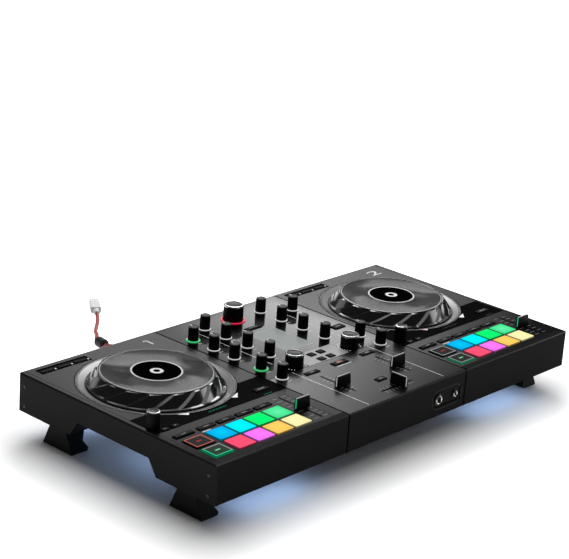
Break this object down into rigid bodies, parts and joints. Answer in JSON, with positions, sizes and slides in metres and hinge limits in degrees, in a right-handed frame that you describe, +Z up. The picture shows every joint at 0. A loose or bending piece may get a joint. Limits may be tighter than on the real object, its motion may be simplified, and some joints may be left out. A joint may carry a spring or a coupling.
{
  "type": "dj controller",
  "caption": "Flat two-deck DJ controller with jog wheels, pads, knobs and faders round a middle mixer, on fold-out legs, with a red USB lead coiled behind it.",
  "frame": {"origin": "under the middle of the body, on the surface that the legs stand on", "axes": "+X along the front edge to the right deck, +Y to the rear, +Z up"},
  "size_m": [0.552, 0.5243, 0.089],
  "materials": {
    "shell": "satin",
    "base": "matte",
    "rim": "gloss",
    "disc": "fine concentric grooves",
    "knob": "matte",
    "cap": "satin",
    "pads": "lit silicone",
    "board": "circuit board",
    "grip": "moulded",
    "plug": "pale moulded",
    "lead": "satin jacket"
  },
  "bodies": {
    "chassis": {"base_plate": "base", "left_shell": "shell", "mixer_shell": "shell", "right_shell": "shell", "left_jog_well": "shell", "right_jog_well": "shell", "main_board": "board", "usb_boot": "grip", "lead_in": "lead", "lead_coil": "lead", "lead_tail": "lead", "ferrite_bead": "grip", "usb_plug": "plug"},
    "left_front_leg": {"left_front_leg": "base"},
    "left_rear_leg": {"left_rear_leg": "base"},
    "left_jog": {"left_jog_wheel": "rim", "left_jog_disc": "disc"},
    "right_front_leg": {"right_front_leg": "base"},
    "right_rear_leg": {"right_rear_leg": "base"},
    "right_jog": {"right_jog_wheel": "rim", "right_jog_disc": "disc"},
    "left_low_knob": {"left_low_knob": "knob"},
    "left_mid_knob": {"left_mid_knob": "knob"},
    "left_high_knob": {"left_high_knob": "knob"},
    "left_gain_knob": {"left_gain_knob": "knob"},
    "right_low_knob": {"right_low_knob": "knob"},
    "right_mid_knob": {"right_mid_knob": "knob"},
    "right_high_knob": {"right_high_knob": "knob"},
    "right_gain_knob": {"right_gain_knob": "knob"},
    "master_level_knob": {"master_level_knob": "knob"},
    "phones_level_knob": {"phones_level_knob": "knob"},
    "phones_mix_knob": {"phones_mix_knob": "knob"},
    "left_effect_knob": {"left_effect_knob": "knob"},
    "left_blend_knob": {"left_blend_knob": "knob"},
    "booth_level_knob": {"booth_level_knob": "knob"},
    "right_effect_knob": {"right_effect_knob": "knob"},
    "right_blend_knob": {"right_blend_knob": "knob"},
    "left_filter_knob": {"left_filter_knob": "knob"},
    "right_filter_knob": {"right_filter_knob": "knob"},
    "browse_encoder": {"browse_encoder": "cap"},
    "left_loop_encoder": {"left_loop_encoder": "cap"},
    "right_loop_encoder": {"right_loop_encoder": "cap"},
    "left_channel_fader": {"left_channel_fader": "knob"},
    "left_tempo_fader": {"left_tempo_fader": "knob"},
    "right_channel_fader": {"right_channel_fader": "knob"},
    "right_tempo_fader": {"right_tempo_fader": "knob"},
    "crossfader": {"crossfader": "knob"},
    "left_pad_sheet": {"left_pad_sheet": "pads"},
    "left_strip_keys": {"left_strip_keys": "knob"},
    "left_play_key": {"left_play_key": "knob"},
    "left_cue_key": {"left_cue_key": "knob"},
    "left_shift_key": {"left_shift_key": "knob"},
    "right_pad_sheet": {"right_pad_sheet": "pads"},
    "right_strip_keys": {"right_strip_keys": "knob"},
    "right_play_key": {"right_play_key": "knob"},
    "right_cue_key": {"right_cue_key": "knob"},
    "right_shift_key": {"right_shift_key": "knob"},
    "browse_key": {"browse_key": "knob"},
    "assist_key": {"assist_key": "knob"},
    "mixer_key_sheet": {"mixer_key_sheet": "knob"}
  },
  "joints": [
    {"name": "left_front_leg_fold", "type": "hinge", "parent": "chassis", "child": "left_front_leg", "pos_m": [-0.257, -0.09175, 0.037], "axis": [0, -1, 0], "range_deg": [0, 90]},
    {"name": "left_rear_leg_fold", "type": "hinge", "parent": "chassis", "child": "left_rear_leg", "pos_m": [-0.257, 0.09175, 0.037], "axis": [0, -1, 0], "range_deg": [0, 90]},
    {"name": "left_jog_spin", "type": "hinge", "parent": "chassis", "child": "left_jog", "pos_m": [-0.18595, 0.03625, 0.07], "axis": [0, 0, 1], "continuous": true},
    {"name": "right_front_leg_fold", "type": "hinge", "parent": "chassis", "child": "right_front_leg", "pos_m": [0.257, -0.09175, 0.037], "axis": [0, 1, 0], "range_deg": [0, 90]},
    {"name": "right_rear_leg_fold", "type": "hinge", "parent": "chassis", "child": "right_rear_leg", "pos_m": [0.257, 0.09175, 0.037], "axis": [0, 1, 0], "range_deg": [0, 90]},
    {"name": "right_jog_spin", "type": "hinge", "parent": "chassis", "child": "right_jog", "pos_m": [0.17905, 0.03625, 0.07], "axis": [0, 0, 1], "continuous": true},
    {"name": "left_low_knob_turn", "type": "hinge", "parent": "chassis", "child": "left_low_knob", "pos_m": [-0.0435, 0.01555, 0.07], "axis": [0, 0, -1], "range_deg": [-140, 140]},
    {"name": "left_mid_knob_turn", "type": "hinge", "parent": "chassis", "child": "left_mid_knob", "pos_m": [-0.0435, 0.04755, 0.07], "axis": [0, 0, -1], "range_deg": [-140, 140]},
    {"name": "left_high_knob_turn", "type": "hinge", "parent": "chassis", "child": "left_high_knob", "pos_m": [-0.0435, 0.07955, 0.07], "axis": [0, 0, -1], "range_deg": [-140, 140]},
    {"name": "left_gain_knob_turn", "type": "hinge", "parent": "chassis", "child": "left_gain_knob", "pos_m": [-0.0435, 0.11155, 0.07], "axis": [0, 0, -1], "range_deg": [-140, 140]},
    {"name": "right_low_knob_turn", "type": "hinge", "parent": "chassis", "child": "right_low_knob", "pos_m": [0.0435, 0.01555, 0.07], "axis": [0, 0, -1], "range_deg": [-140, 140]},
    {"name": "right_mid_knob_turn", "type": "hinge", "parent": "chassis", "child": "right_mid_knob", "pos_m": [0.0435, 0.04755, 0.07], "axis": [0, 0, -1], "range_deg": [-140, 140]},
    {"name": "right_high_knob_turn", "type": "hinge", "parent": "chassis", "child": "right_high_knob", "pos_m": [0.0435, 0.07955, 0.07], "axis": [0, 0, -1], "range_deg": [-140, 140]},
    {"name": "right_gain_knob_turn", "type": "hinge", "parent": "chassis", "child": "right_gain_knob", "pos_m": [0.0435, 0.11155, 0.07], "axis": [0, 0, -1], "range_deg": [-140, 140]},
    {"name": "master_level_knob_turn", "type": "hinge", "parent": "chassis", "child": "master_level_knob", "pos_m": [-0.0775, 0.09455, 0.07], "axis": [0, 0, -1], "range_deg": [-140, 140]},
    {"name": "phones_level_knob_turn", "type": "hinge", "parent": "chassis", "child": "phones_level_knob", "pos_m": [-0.0775, 0.06355, 0.07], "axis": [0, 0, -1], "range_deg": [-140, 140]},
    {"name": "phones_mix_knob_turn", "type": "hinge", "parent": "chassis", "child": "phones_mix_knob", "pos_m": [-0.0775, 0.03355, 0.07], "axis": [0, 0, -1], "range_deg": [-140, 140]},
    {"name": "left_effect_knob_turn", "type": "hinge", "parent": "chassis", "child": "left_effect_knob", "pos_m": [-0.0775, -0.00495, 0.07], "axis": [0, 0, -1], "range_deg": [-140, 140]},
    {"name": "left_blend_knob_turn", "type": "hinge", "parent": "chassis", "child": "left_blend_knob", "pos_m": [-0.0775, -0.03445, 0.07], "axis": [0, 0, -1], "range_deg": [-140, 140]},
    {"name": "booth_level_knob_turn", "type": "hinge", "parent": "chassis", "child": "booth_level_knob", "pos_m": [0.0775, 0.09455, 0.07], "axis": [0, 0, -1], "range_deg": [-140, 140]},
    {"name": "right_effect_knob_turn", "type": "hinge", "parent": "chassis", "child": "right_effect_knob", "pos_m": [0.0775, -0.00495, 0.07], "axis": [0, 0, -1], "range_deg": [-140, 140]},
    {"name": "right_blend_knob_turn", "type": "hinge", "parent": "chassis", "child": "right_blend_knob", "pos_m": [0.0775, -0.03445, 0.07], "axis": [0, 0, -1], "range_deg": [-140, 140]},
    {"name": "left_filter_knob_turn", "type": "hinge", "parent": "chassis", "child": "left_filter_knob", "pos_m": [-0.0435, -0.01965, 0.07], "axis": [0, 0, -1], "range_deg": [-140, 140]},
    {"name": "right_filter_knob_turn", "type": "hinge", "parent": "chassis", "child": "right_filter_knob", "pos_m": [0.0435, -0.01965, 0.07], "axis": [0, 0, -1], "range_deg": [-140, 140]},
    {"name": "browse_encoder_turn", "type": "hinge", "parent": "chassis", "child": "browse_encoder", "pos_m": [0, 0.11155, 0.07], "axis": [0, 0, -1], "continuous": true},
    {"name": "left_loop_encoder_turn", "type": "hinge", "parent": "chassis", "child": "left_loop_encoder", "pos_m": [-0.2645, -0.0427, 0.07], "axis": [0, 0, -1], "continuous": true},
    {"name": "right_loop_encoder_turn", "type": "hinge", "parent": "chassis", "child": "right_loop_encoder", "pos_m": [0.1005, -0.0427, 0.07], "axis": [0, 0, -1], "continuous": true},
    {"name": "left_channel_fader_slide", "type": "slide", "parent": "chassis", "child": "left_channel_fader", "axis": [0, 1, 0], "range_m": [-0.014, 0.026]},
    {"name": "left_tempo_fader_slide", "type": "slide", "parent": "chassis", "child": "left_tempo_fader", "axis": [0, 1, 0], "range_m": [-0.0227, 0.0273]},
    {"name": "right_channel_fader_slide", "type": "slide", "parent": "chassis", "child": "right_channel_fader", "axis": [0, 1, 0], "range_m": [-0.014, 0.026]},
    {"name": "right_tempo_fader_slide", "type": "slide", "parent": "chassis", "child": "right_tempo_fader", "axis": [0, 1, 0], "range_m": [-0.0227, 0.0273]},
    {"name": "crossfader_slide", "type": "slide", "parent": "chassis", "child": "crossfader", "axis": [1, 0, 0], "range_m": [-0.023, 0.017]},
    {"name": "left_pad_sheet_press", "type": "slide", "parent": "chassis", "child": "left_pad_sheet", "axis": [0, 0, -1], "range_m": [0, 0.0008], "stiffness_N_per_m": 4000},
    {"name": "left_strip_keys_press", "type": "slide", "parent": "chassis", "child": "left_strip_keys", "axis": [0, 0, -1], "range_m": [0, 0.0006], "stiffness_N_per_m": 1500},
    {"name": "left_play_key_press", "type": "slide", "parent": "chassis", "child": "left_play_key", "axis": [0, 0, -1], "range_m": [0, 0.0006], "stiffness_N_per_m": 1500},
    {"name": "left_cue_key_press", "type": "slide", "parent": "chassis", "child": "left_cue_key", "axis": [0, 0, -1], "range_m": [0, 0.0006], "stiffness_N_per_m": 1500},
    {"name": "left_shift_key_press", "type": "slide", "parent": "chassis", "child": "left_shift_key", "axis": [0, 0, -1], "range_m": [0, 0.0006], "stiffness_N_per_m": 1500},
    {"name": "right_pad_sheet_press", "type": "slide", "parent": "chassis", "child": "right_pad_sheet", "axis": [0, 0, -1], "range_m": [0, 0.0008], "stiffness_N_per_m": 4000},
    {"name": "right_strip_keys_press", "type": "slide", "parent": "chassis", "child": "right_strip_keys", "axis": [0, 0, -1], "range_m": [0, 0.0006], "stiffness_N_per_m": 1500},
    {"name": "right_play_key_press", "type": "slide", "parent": "chassis", "child": "right_play_key", "axis": [0, 0, -1], "range_m": [0, 0.0006], "stiffness_N_per_m": 1500},
    {"name": "right_cue_key_press", "type": "slide", "parent": "chassis", "child": "right_cue_key", "axis": [0, 0, -1], "range_m": [0, 0.0006], "stiffness_N_per_m": 1500},
    {"name": "right_shift_key_press", "type": "slide", "parent": "chassis", "child": "right_shift_key", "axis": [0, 0, -1], "range_m": [0, 0.0006], "stiffness_N_per_m": 1500},
    {"name": "browse_key_press", "type": "slide", "parent": "chassis", "child": "browse_key", "axis": [0, 0, -1], "range_m": [0, 0.0006], "stiffness_N_per_m": 1500},
    {"name": "assist_key_press", "type": "slide", "parent": "chassis", "child": "assist_key", "axis": [0, 0, -1], "range_m": [0, 0.0006], "stiffness_N_per_m": 1500},
    {"name": "mixer_key_sheet_press", "type": "slide", "parent": "chassis", "child": "mixer_key_sheet", "axis": [0, 0, -1], "range_m": [0, 0.0006], "stiffness_N_per_m": 1500}
  ]
}
